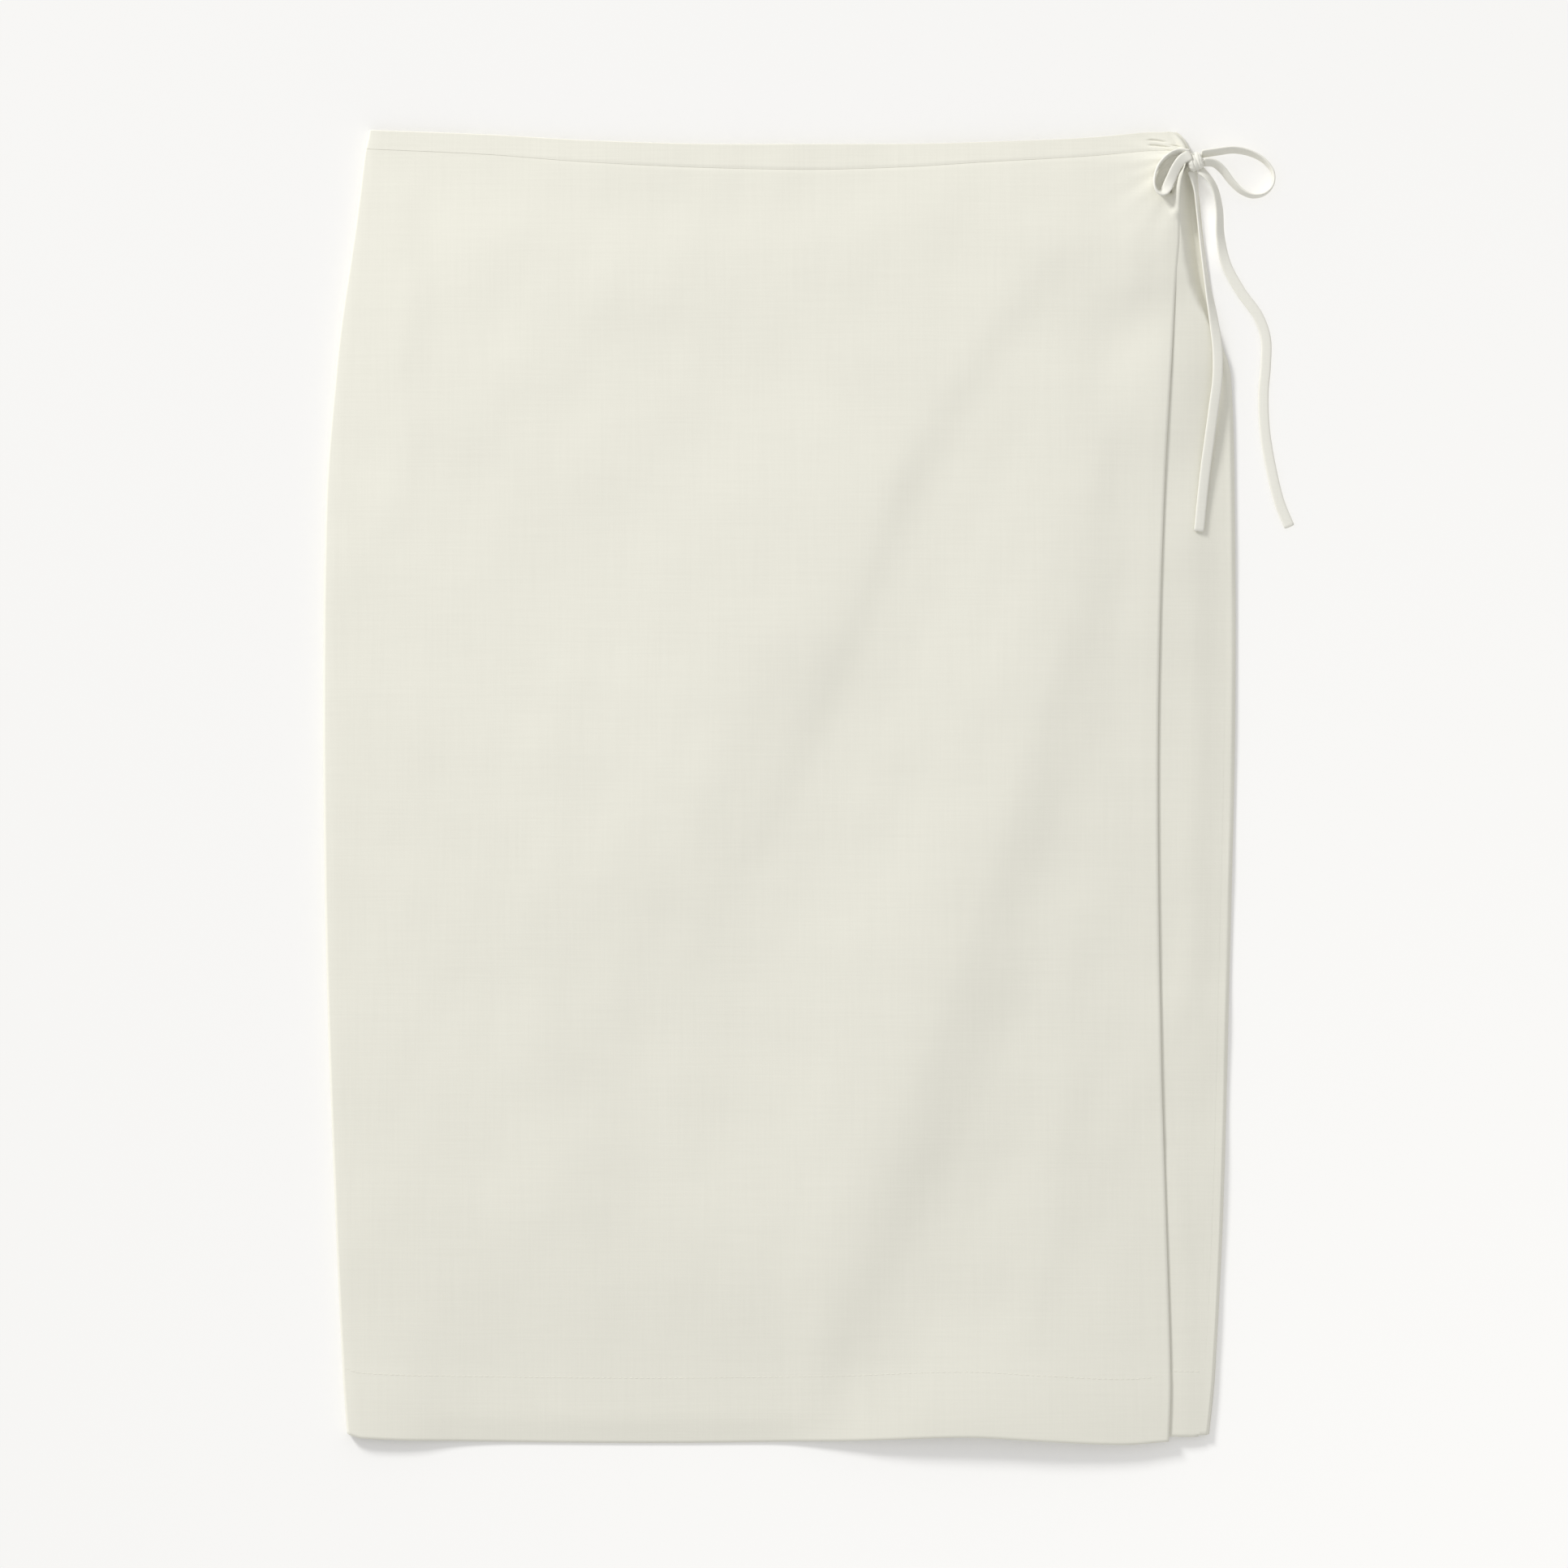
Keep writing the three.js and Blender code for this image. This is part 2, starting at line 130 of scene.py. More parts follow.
# The skirt's right side slopes down to its pressed fold. Near the bow it drops from a crest into a
# shaded hollow: how wide that is, which share of it is the flat foot, and how hollow it is. Below the
# hollow the strip first falls gently towards the side. A full side bulges by the given power, a hollow one
# is straight with a little easing
sideSlope = {
    "down": [0, 24, 35, 50, 61.7, 72.5, 78.6, 83.6, 89.7, 94.8, 99.3, 104.8, 118, 140, 330, 420, 520, 706],
    "wide": [3, 9, 11.3, 11.9, 11.5, 11.6, 10.8, 10.7, 9, 7.4, 5.6, 4.0, 2.6, 2.4, 2.2, 2.0, 1.8, 1.4],
    "foot": [0, 0.3, 0.4, 0.4, 0.4, 0.4, 0.4, 0.38, 0.34, 0.3, 0.2, 0.15, 0, 0, 0, 0, 0, 0],
    "hollow": [0, 1, 1, 1, 1, 1, 1, 1, 1, 1, 0.9, 0.8, 0, 0, 0, 0, 0, 0],
    "fall": [0, 0, 0, 0, 0, 0, 0, 0, 0, 0, 0, 0.2, 0.9, 1.9, 1.9, 1.8, 1.3, 0.4],
    "fallWide": 18.0, "bulge": 1.8, "eased": 0.2,
}
# From a little inside the wrap edge the strip follows the top layer, one step below it. Beside the hollow
# the step vanishes and the two are level; under the top layer the strip stays at least "under" below it.
# "ramp" is how fast it comes up past the edge, "ahead" and "edgeShift" how far inside it starts
strip = {
    "down": [0, 30, 44, 72, 80, 98, 150, 300, 450, 706],
    "step": [1.2, 0.9, -0.1, -0.1, 0.1, 0.5, 0.8, 1.0, 1.15, 1.2],
    "follows": 14.0, "followsSoft": 3.0, "under": 1.2, "ramp": 0.8, "ahead": 0.1, "edgeShift": 1.2,
    "level": 0.3, "extraColumns": [-1.7, -1.3, -0.9, -0.5, -0.1, 0.3, 0.7, 1.1],
}
# How far the top layer comes down towards the hem, or lifts off the floor there, and over what length
hemSettle = {
    "x": [-234, -215, -190, -150, -90, -20, 40, 80, 112, 150, 185, 212],
    "drop": [1.6, 1.6, 1.9, 3.1, 3.1, 3.0, 0.8, -1.4, -2.2, -1.7, -0.3, 0.6],
    "length": 90.0,
}
# Between these places the hem reaches past the layers below it and touches the floor. Above it the
# layers come down together
hemTouch = {"x": [-234, -206, -174, -136, -30, 0, 24, 46], "share": [0, 0.06, 0.55, 1, 1, 0.85, 0.3, 0],
            "z": 0.5, "slope": 0.11, "over": 1.9, "under": 1.15, "length": 130.0}
# Below the bow the free edge sinks a little towards the strip beside it
freeEdge = {"from": 70.0, "to": 130.0, "sink": 0.4, "sinkWide": 26.0}
knot = {"x": 223.0, "down": 17.6, "z": 7.9}

# The origin lies at the bottom middle of the laid skirt: the knot's place in the frame gives the shift
knotLow, knotHigh = (np.array(corner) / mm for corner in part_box("tie_knot"))
shift = (knotLow + knotHigh)[:2] / 2 - (knot["x"], -knot["down"])


def inFrame(x, down, z):
    # millimetres of the tables to metres of the frame
    return np.stack([x + shift[0], shift[1] - down, z], axis=-1) * mm


def readTable(table, where, value, at):
    # smooth value between the rows of a table, the same curve as in the solids
    xs = np.array(table[where], float)
    ys = np.array(table[value], float)
    before, after = np.r_[0, np.arange(len(xs) - 1)], np.r_[np.arange(1, len(xs)), len(xs) - 1]
    slopes = (ys[after] - ys[before]) / (xs[after] - xs[before])
    at = np.clip(np.asarray(at, float), xs[0], xs[-1])
    index = np.clip(np.searchsorted(xs, at, side="right") - 1, 0, len(xs) - 2)
    span = xs[index + 1] - xs[index]
    t = (at - xs[index]) / span
    leave = t * (1 - t) ** 2 * span * slopes[index]
    arrive = t * t * (t - 1) * span * slopes[index + 1]
    return ys[index] + (ys[index + 1] - ys[index]) * t * t * (3 - 2 * t) + leave + arrive


def bezier(points, count=24):
    t = np.linspace(0, 1, count)[:, None]
    a, b, c = (np.array(point, float) for point in points)
    return (1 - t) ** 2 * a + 2 * t * (1 - t) * b + t * t * c


def creaseHeight(crease, x, down):
    # a swell about the nearest point of the crest, wider on one side than on the other
    crest = bezier(crease["crest"])
    nearest = np.full(x.shape, np.inf)
    side = np.zeros(x.shape)
    for (ax, ay), (bx, by) in zip(crest[:-1], crest[1:]):
        lx, ly = bx - ax, by - ay
        share = np.clip(((x - ax) * lx + (down - ay) * ly) / (lx * lx + ly * ly), 0, 1)
        awayX, awayY = x - ax - share * lx, down - ay - share * ly
        distance = np.hypot(awayX, awayY)
        turn = (lx * awayY - ly * awayX) / (math.hypot(lx, ly) * np.maximum(distance, 1e-6))
        closer = distance < nearest
        nearest = np.where(closer, distance, nearest)
        side = np.where(closer, turn, side)
    width = crease["right"] + (crease["left"] - crease["right"]) * (side + 1) / 2
    return crease["height"] * np.exp(-((nearest / width) ** 2))


def relief(creases, x, down):
    return sum(creaseHeight(crease, x, down) for crease in creases)


# Cloth never lies quite even: a few long crossing waves with seeded directions
uneven = {"seed": 11, "waves": 14, "shortest": 26.0, "longest": 95.0, "slope": 0.0045}


def unevenness(x, down):
    draw = np.random.default_rng(uneven["seed"])
    total = np.zeros(x.shape)
    for _ in range(uneven["waves"]):
        length = draw.uniform(uneven["shortest"], uneven["longest"])
        angle, phase = draw.uniform(0, math.pi), draw.uniform(0, 2 * math.pi)
        along = x * math.cos(angle) + down * math.sin(angle)
        total += uneven["slope"] * length / (2 * math.pi) * np.sin(2 * math.pi * along / length + phase)
    return total


def softStep(beyond, soft):
    # rises softly from 0 to 1 where beyond passes 0
    return 0.5 + 0.5 * np.tanh(beyond / soft / 2)


def hemThickening(x, down, hemName):
    # the turned hem is a little thicker than the single cloth above it
    above = readTable(hemLine, "x", hemName, x) - down
    return wall["hem"] * softStep(wall["hemDeep"] - above, 0.5)


def turnedEdge(x, down):
    # the free edge is folded in and sewn, so it is a little thicker too
    away = readTable(wrapEdge, "down", "x", down) - x
    return wall["turned"] * softStep(wall["turnedWide"] - away, 0.4)


def seamDip(x, down):
    away = np.abs(down - readTable(waistLine, "x", "seam", x)) / wall["seamSoft"]
    return -readTable(waistLine, "x", "dip", x) * np.exp(-away ** 2)


def aboveHem(x, down):
    return readTable(hemLine, "x", "over", x) - down


def nearHem(x, down, length):
    # rises softly from 0 to 1 over this length above the hem
    near = np.clip(1 - aboveHem(x, down) / length, 0, 1)
    return near ** 2 * (3 - 2 * near)


def settledNearHem(x, down):
    return readTable(hemSettle, "x", "drop", x) * nearHem(x, down, hemSettle["length"])


def edgeSink(x, down):
    away = readTable(wrapEdge, "down", "x", down) - x
    clearOfBow = np.clip((down - freeEdge["from"]) / (freeEdge["to"] - freeEdge["from"]), 0, 1)
    return clearOfBow * freeEdge["sink"] * np.exp(-((away / freeEdge["sinkWide"]) ** 2))


def hemShare(x, down):
    # how far the layers here follow the hem that touches the floor
    return readTable(hemTouch, "x", "share", x) * nearHem(x, down, hemTouch["length"])


def overHeight(x, down):
    z = (wall["overLevel"] + wall["bigFolds"] * relief(bigFolds, x, down) + relief(overCreases, x, down)
         + unevenness(x, down) + relief(puckers, x, down) + seamDip(x, down) - settledNearHem(x, down)
         - edgeSink(x, down))
    low = np.minimum(hemTouch["z"] + hemTouch["slope"] * aboveHem(x, down), hemTouch["over"])
    return z + (low - z) * hemShare(x, down)


def rightReach(down):
    return readTable(outline, "down", "right", down)


def leftReach(down):
    return -readTable(outline, "down", "left", down)


def stripHeight(x, down):
    # the under front, and the back's wrap beside it, which slope down to the pressed fold at the right
    past = x - readTable(wrapEdge, "down", "x", down)
    besideEdge = softStep(past + strip["follows"], strip["followsSoft"])
    top = (wall["underLevel"] + fold["underShare"] * relief(bigFolds, x, down) + 0.5 * unevenness(x, down)
           - 0.5 * np.maximum(settledNearHem(x, down), 0))
    top = top + (hemTouch["under"] - top) * hemShare(x, down)
    step = readTable(strip, "down", "step", down)
    earlier = strip["edgeShift"] * (1 - np.clip(step / strip["level"], 0, 1))
    covered = 1 - np.clip((past + strip["ahead"] + earlier) / strip["ramp"], 0, 1)
    level = overHeight(x, down) - np.maximum(step, strip["under"] * covered) + relief(stripCreases, x, down)
    top = top + (level - top) * besideEdge
    edge = wall["back"] + 2 * fold["turn"]
    toSide = rightReach(down) - wall["cloth"] / 2 - fold["turn"] - x
    top = top - readTable(sideSlope, "down", "fall", down) * np.exp(-((toSide / sideSlope["fallWide"]) ** 2))
    inward = toSide / readTable(sideSlope, "down", "wide", down)
    foot = readTable(sideSlope, "down", "foot", down)
    climb = np.clip((inward - foot) / (1 - foot), 0, 1)
    bulging = 1 - (1 - climb) ** sideSlope["bulge"]
    eased = climb ** 2 * (3 - 2 * climb)
    straight = climb + (eased - climb) * sideSlope["eased"]
    rise = bulging + (straight - bulging) * readTable(sideSlope, "down", "hollow", down)
    return edge + (top - edge) * rise


# Meshes

def meshObject(name, points, faces, material):
    mesh = bpy.data.meshes.new(name)
    mesh.from_pydata(points.tolist(), [], faces)
    mesh.materials.append(material)
    mesh.update()
    mesh.shade_smooth()
    piece = bpy.data.objects.new(name, mesh)
    bpy.context.scene.collection.objects.link(piece)
    return piece


def sharpen(mesh, pairs):
    # marks the edges between these pairs of points as sharp
    count = len(mesh.vertices)
    ends = np.empty(2 * len(mesh.edges), dtype=np.int32)
    mesh.edges.foreach_get("vertices", ends)
    ends = ends.reshape(-1, 2).astype(np.int64)
    wanted = [min(pair) * count + max(pair) for pair in pairs]
    mesh.edges.foreach_set("use_edge_sharp", np.isin(ends.min(axis=1) * count + ends.max(axis=1), wanted))


def clothShell(name, middle, thickness, material, edges):
    # closed shell about a grid of middle points: rows from the waist down, columns along each section.
    # edges tells whether its top, start, bottom and end are free or sewn
    rows, columns, _ = middle.shape
    along = np.gradient(middle, axis=1)
    length = np.hypot(along[..., 0], along[..., 2])
    push = np.stack([-along[..., 2] / length, np.zeros_like(length), along[..., 0] / length], axis=-1)
    half = np.broadcast_to(np.asarray(thickness, float) / 2, (rows, columns))[..., None]
    outer, inner = middle + push * half, middle - push * half
    ring = [(0, j) for j in range(columns - 1, 0, -1)] + [(i, 0) for i in range(rows - 1)]
    ring += [(rows - 1, j) for j in range(columns - 1)] + [(i, columns - 1) for i in range(rows - 1, 0, -1)]
    kind = np.repeat(edges, [columns - 1, rows - 1, columns - 1, rows - 1])
    rim = []  # one more ring of points, a little further out, rounds the edge
    for (i, j), distance in zip(ring, [rounds[edge] for edge in kind]):
        out = middle[i, j] - middle[min(max(i, 1), rows - 2), min(max(j, 1), columns - 2)]
        rim.append(middle[i, j] + out / max(np.linalg.norm(out), 1e-9) * distance)
    total = rows * columns
    index = np.arange(total).reshape(rows, columns)
    a, b, c, d = index[:-1, :-1], index[1:, :-1], index[1:, 1:], index[:-1, 1:]
    faces = np.stack([a, b, c, d], axis=-1).reshape(-1, 4).tolist()
    faces += (np.stack([a, d, c, b], axis=-1).reshape(-1, 4) + total).tolist()
    sharp = []
    for k, here in enumerate(ring):
        after = (k + 1) % len(ring)
        at, to = int(index[here]), int(index[ring[after]])
        faces.append([to, at, 2 * total + k, 2 * total + after])
        faces.append([2 * total + after, 2 * total + k, at + total, to + total])
        if kind[k] == "sewn":
            sharp += [(at, to), (at + total, to + total)]
    points = np.concatenate([outer.reshape(-1, 3), inner.reshape(-1, 3), np.array(rim)])
    piece = meshObject(name, inFrame(points[:, 0], points[:, 1], points[:, 2]), faces, material)
    sharpen(piece.data, sharp)
    return piece


# Materials

def newNode(nodes, kind, **values):
    node = nodes.new(kind)
    for key, value in values.items():
        setattr(node, key, value)
    return node


# Noise that bends the threads, thickens single warp and weft threads and mottles the cloth
weaveNoise = {"bend": 60.0, "bendBy": 7.0, "warpSlubs": (26, 900, 26), "weftSlubs": (820, 20, 26),
              "mottle": 9.0, "weaveHeight": 0.5, "slubHeight": 0.8}


def makeWeaveGroup():
    # plain weave of uneven threads: a tone that swings about 0.5, and a height from 0 to about 1
    group = bpy.data.node_groups.new("linenWeave", "ShaderNodeTree")
    for name, value in (("Threads", 11400.0), ("Slub", 1.0), ("Mottle", 0.5), ("Weave Tone", 0.2)):
        socket = group.interface.new_socket(name=name, in_out="INPUT", socket_type="NodeSocketFloat")
        socket.default_value = value
    for name in ("Tone", "Height"):
        group.interface.new_socket(name=name, in_out="OUTPUT", socket_type="NodeSocketFloat")
    nodes, links = group.nodes, group.links
    start, end = newNode(nodes, "NodeGroupInput"), newNode(nodes, "NodeGroupOutput")
    place = newNode(nodes, "ShaderNodeTexCoord")
    split = newNode(nodes, "ShaderNodeSeparateXYZ")
    links.new(place.outputs["Object"], split.inputs["Vector"])

    def maths(operation, *values):
        node = newNode(nodes, "ShaderNodeMath", operation=operation)
        for socket, value in zip(node.inputs, values):
            if isinstance(value, (int, float)):
                socket.default_value = value
            else:
                links.new(value, socket)
        return node.outputs[0]

    def noise(scale, stretch, detail):
        mapping = newNode(nodes, "ShaderNodeMapping")
        mapping.inputs["Scale"].default_value = stretch
        links.new(place.outputs["Object"], mapping.inputs["Vector"])
        node = newNode(nodes, "ShaderNodeTexNoise")
        node.inputs["Scale"].default_value = scale
        node.inputs["Detail"].default_value = detail
        links.new(mapping.outputs["Vector"], node.inputs["Vector"])
        return node.outputs["Fac"]

    def about(value, strength):
        # swings about zero by the given strength
        return maths("MULTIPLY", maths("SUBTRACT", value, 0.5), strength)

    waver = maths("MULTIPLY", noise(weaveNoise["bend"], (1, 1, 1), 2), weaveNoise["bendBy"])
    warp = maths("SINE", maths("MULTIPLY_ADD", split.outputs["X"], start.outputs["Threads"], waver))
    weft = maths("SINE", maths("MULTIPLY_ADD", split.outputs["Y"], start.outputs["Threads"], waver))
    weave = maths("MULTIPLY_ADD", maths("MULTIPLY", warp, weft), 0.5, 0.5)
    slubs = noise(1, weaveNoise["warpSlubs"], 3), noise(1, weaveNoise["weftSlubs"], 3)
    slub = maths("MULTIPLY", maths("ADD", *slubs), 0.5)
    mottle = noise(weaveNoise["mottle"], (1, 1, 1), 4)
    tone = maths("ADD", about(slub, start.outputs["Slub"]), about(mottle, start.outputs["Mottle"]))
    tone = maths("ADD", tone, about(weave, start.outputs["Weave Tone"]))
    links.new(maths("ADD", tone, 0.5), end.inputs["Tone"])
    height = maths("ADD", maths("MULTIPLY", weave, weaveNoise["weaveHeight"]),
                   maths("MULTIPLY", slub, weaveNoise["slubHeight"]))
    links.new(height, end.inputs["Height"])
    return group


def clothMaterial(name, weave, look):
    material = bpy.data.materials.new(name)
    material.use_nodes = True
    nodes, links = material.node_tree.nodes, material.node_tree.links
    shader = nodes["Principled BSDF"]
    shader.inputs["Roughness"].default_value = look["roughness"]
    shader.inputs["Sheen Weight"].default_value = look["sheen"]
    shader.inputs["Sheen Roughness"].default_value = look["sheenRoughness"]
    shader.inputs["Specular IOR Level"].default_value = look["specular"]
    group = newNode(nodes, "ShaderNodeGroup", node_tree=weave)
    for socket, value in (("Threads", "threads"), ("Slub", "slub"), ("Mottle", "mottle"),
                          ("Weave Tone", "weave")):
        group.inputs[socket].default_value = look[value]
    colour = newNode(nodes, "ShaderNodeMix", data_type="RGBA")
    colour.inputs["A"].default_value = (*look["dark"], 1)
    colour.inputs["B"].default_value = (*look["light"], 1)
    links.new(group.outputs["Tone"], colour.inputs["Factor"])
    links.new(colour.outputs["Result"], shader.inputs["Base Color"])
    bump = newNode(nodes, "ShaderNodeBump")
    bump.inputs["Strength"].default_value = look["bump"]
    bump.inputs["Distance"].default_value = look["relief"] * mm
    links.new(group.outputs["Height"], bump.inputs["Height"])
    links.new(bump.outputs["Normal"], shader.inputs["Normal"])
    return material


clothLook = {"dark": (0.745, 0.730, 0.645), "light": (0.845, 0.830, 0.738), "threads": 11400.0, "slub": 0.7,
             "mottle": 0.4, "weave": 0.25, "roughness": 0.92, "specular": 0.2, "sheen": 0.06,
             "sheenRoughness": 0.6, "bump": 0.35, "relief": 0.25}
bandLook = dict(clothLook, slub=1.0)
tieLook = dict(clothLook, dark=(0.759, 0.746, 0.675), light=(0.853, 0.840, 0.767), mottle=0.3)
threadLook = dict(clothLook, slub=0.2, mottle=0.2, weave=0.0, bump=0.1)

weaveGroup = makeWeaveGroup()
clothFinish = clothMaterial("ecruCloth", weaveGroup, clothLook)
bandFinish = clothMaterial("ecruBand", weaveGroup, bandLook)
tieFinish = clothMaterial("ecruTie", weaveGroup, tieLook)
threadFinish = clothMaterial("sewingThread", weaveGroup, threadLook)


def settle(piece, node):
    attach(piece, "root")
    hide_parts(node)


# Camera straight above the middle of the photo's frame, which is "across" wide at "level" above the floor

view = {"across": 845.25, "x": 1.75, "down": 352.6, "height": 2600.0, "level": 5.0, "sensor": 36.0,
        "clip": 20000.0}


def makeCamera():
    camera = bpy.data.cameras.new("overheadCamera")
    camera.sensor_width = view["sensor"]
    camera.lens = view["sensor"] * (view["height"] - view["level"]) / view["across"]
    camera.clip_end = view["clip"] * mm
    holder = bpy.data.objects.new("overheadCamera", camera)
    holder.location = inFrame(view["x"], view["down"], view["height"])
    bpy.context.scene.collection.objects.link(holder)
    bpy.context.scene.camera = holder


makeCamera()
print("camera placed")

# The straps of the bow: x, down, z and the strap's roll in degrees at each point, close to those of the
# solids. At 0 the strap lies flat, at 90 it stands on its edge.

strap = {"width": 5.6, "thickness": 1.5, "step": 1.4, "sides": 16, "squareness": 0.55, "flatness": 0.75,
         "seamGroove": 0.2, "lowest": 0.05}
straps = {
    "tie_end_over_floor": {"farEnd": "bare", "route": [
        (226.0, 21.9, 7.0, 30), (229.6, 25.2, 7.0, 45), (233.6, 31, 6.0, 50), (236.4, 42, 3.8, 44),
        (237.2, 57, 1.8, 30), (240.4, 72, 1.2, 8), (248.5, 87, 1.0, 0), (257.7, 100, 1.0, 0),
        (261.8, 112, 1.0, 0), (261.8, 127, 1.0, 0), (260.6, 142, 1.0, 0), (261.4, 162, 1.0, 0),
        (265.1, 184, 1.0, 0), (269.4, 201, 1.0, 0), (274.6, 213.6, 1.0, 0)]},
    "tie_end_over_skirt": {"farEnd": "bare", "route": [
        (221.6, 22.4, 7.0, 20), (223.6, 31, 5.8, 60), (224.8, 44, 4.4, 76), (226.6, 60, 4.2, 74),
        (229.4, 80, 5.0, 62), (232.8, 100, 6.2, 30), (235.2, 118, 6.9, 10), (235.2, 134, 7.0, 8),
        (233.2, 150, 6.8, 8), (230.8, 168, 6.4, 8), (228.6, 185, 5.8, 7), (226.8, 202, 5.5, 8),
        (225.4, 216.2, 5.65, 9)]},
    "bow_loop_right": {"farEnd": "object", "route": [
        (226.8, 13.4, 8.4, 130), (235.4, 12.0, 7.2, 126), (244.1, 10.8, 5.0, 122), (252.9, 12.2, 3.4, 116),
        (260.8, 16.4, 2.9, 106), (265.6, 23.0, 2.8, 96), (265.4, 29.6, 2.8, 89), (261.2, 34.2, 2.8, 84),
        (254.8, 35.4, 2.8, 76), (248.6, 32.8, 2.8, 68), (243.0, 27.6, 3.6, 60), (238.2, 21.8, 5.4, 55),
        (233.4, 18.2, 7.2, 50), (227.9, 17.6, 8.0, 40)]},
    "bow_loop_left": {"farEnd": "object", "route": [
        (219.8, 13.4, 9.6, 40), (213.6, 12.8, 9.8, 52), (207.6, 15.4, 10.6, 72), (203.0, 20.4, 11.2, 84),
        (201.0, 26.2, 11.6, 88), (201.0, 30.8, 12.0, 84), (202.6, 33.8, 12.2, 70), (205.0, 34.6, 12.2, 46),
        (207.1, 32.8, 11.9, 18), (209.2, 28.4, 11.5, -8), (212.8, 20.8, 11.4, -18), (216.2, 16.4, 11.5, -12),
        (220.2, 14.2, 10.9, 6)]},
}


def smoothRoute(route, step):
    # curve through the route's points whose tangents follow their spacing, sampled about every step
    points = np.array(route, float)
    points = np.concatenate([[2 * points[0] - points[1]], points, [2 * points[-1] - points[-2]]])
    samples = []
    for before, start, end, after in zip(points, points[1:], points[2:], points[3:]):
        near, mid, far = (np.linalg.norm((b - a)[:3]) ** 0.5
                          for a, b in ((before, start), (start, end), (end, after)))
        leave = mid * ((start - before) / near - (end - before) / (near + mid) + (end - start) / mid)
        arrive = mid * ((end - start) / mid - (after - start) / (mid + far) + (after - end) / far)
        count = max(2, round(float(np.linalg.norm((end - start)[:3])) / step))
        for t in np.arange(count) / count:
            samples.append((2 * t ** 3 - 3 * t ** 2 + 1) * start + (t ** 3 - 2 * t ** 2 + t) * leave
                           + (3 * t ** 2 - 2 * t ** 3) * end + (t ** 3 - t ** 2) * arrive)
    samples.append(points[-2])
    return np.array(samples)


def strapSection():
    # a folded and stitched tube of cloth: flat with round edges, a little thinner along its middle
    angle = np.linspace(0, 2 * math.pi, strap["sides"], endpoint=False)
    across = strap["width"] / 2 * np.sign(np.cos(angle)) * np.abs(np.cos(angle)) ** strap["squareness"]
    up = strap["thickness"] / 2 * np.sign(np.sin(angle)) * np.abs(np.sin(angle)) ** strap["flatness"]
    return across, up * (1 - strap["seamGroove"] * (1 - np.abs(across) / (strap["width"] / 2)))


# A tube's cap: its ring as a share of the tube's end, and how far that ring and the tip stand out
cap = {"share": 0.6, "out": 0.3, "tip": 0.38}


def closeTube(rings, faces):
    # rings of a tube to points and faces, with a rounded cap on each end
    count, sides, _ = rings.shape
    points = [rings.reshape(-1, 3)]
    for i in range(count - 1):
        for j in range(sides):
            k = (j + 1) % sides
            faces.append([i * sides + j, i * sides + k, (i + 1) * sides + k, (i + 1) * sides + j])
    first = count * sides
    for ring, inner, flip in ((0, 1, False), (count - 1, count - 2, True)):
        middle = rings[ring].mean(axis=0)
        out = middle - rings[inner].mean(axis=0)
        out /= np.linalg.norm(out)
        points.append(rings[ring] * cap["share"] + middle * (1 - cap["share"]) + out * cap["out"])
        points.append((middle + out * cap["tip"])[None])
        for j in range(sides):
            k = (j + 1) % sides
            side = [ring * sides + k, ring * sides + j, first + j, first + k]
            tip = [first + k, first + j, first + sides]
            faces += [side[::-1], tip[::-1]] if flip else [side, tip]
        first += sides + 1
    return np.concatenate(points)


def makeStrap(name, route):
    line = smoothRoute(route, strap["step"])
    centre = np.stack([line[:, 0], -line[:, 1], line[:, 2]], axis=-1)
    tangent = np.gradient(centre, axis=0)
    tangent /= np.linalg.norm(tangent, axis=1)[:, None]
    level = np.cross(tangent, (0, 0, 1.0))
    level /= np.linalg.norm(level, axis=1)[:, None]
    rise = np.cross(level, tangent)
    roll = np.radians(line[:, 3])[:, None]
    sideways = np.cos(roll) * level + np.sin(roll) * rise
    upward = np.cos(roll) * rise - np.sin(roll) * level
    across, up = strapSection()
    rings = centre[:, None] + across[None, :, None] * sideways[:, None] + up[None, :, None] * upward[:, None]
    rings[..., 2] = np.maximum(rings[..., 2], strap["lowest"])
    faces = []
    points = closeTube(rings, faces)
    piece = meshObject(name + "_cloth", inFrame(points[:, 0], -points[:, 1], points[:, 2]), faces, tieFinish)
    settle(piece, name)
    return piece


bowPieces = [makeStrap(strapName, shape["route"]) for strapName, shape in straps.items()]

# The knot: the strap's wrap goes round the bow once, with creases along it and gathers at its two ends

knotShape = {"halfX": 4.4, "halfDown": 5.3, "halfZ": 3.6, "roundness": 2.6, "rings": 56, "sides": 72,
             "grooves": [(-0.30, 0.075, 0.45, 0.6), (0.22, 0.085, 0.38, 2.1), (0.62, 0.07, 0.25, 4.0)],
             "wander": 0.06, "smallWander": 0.03, "gathers": 11, "gatherDepth": 0.45, "gatherPower": 4,
             "sway": 1.2, "swirl": 3, "waist": 0.10, "waistWide": 0.4, "endSize": 0.02, "tilt": -18}


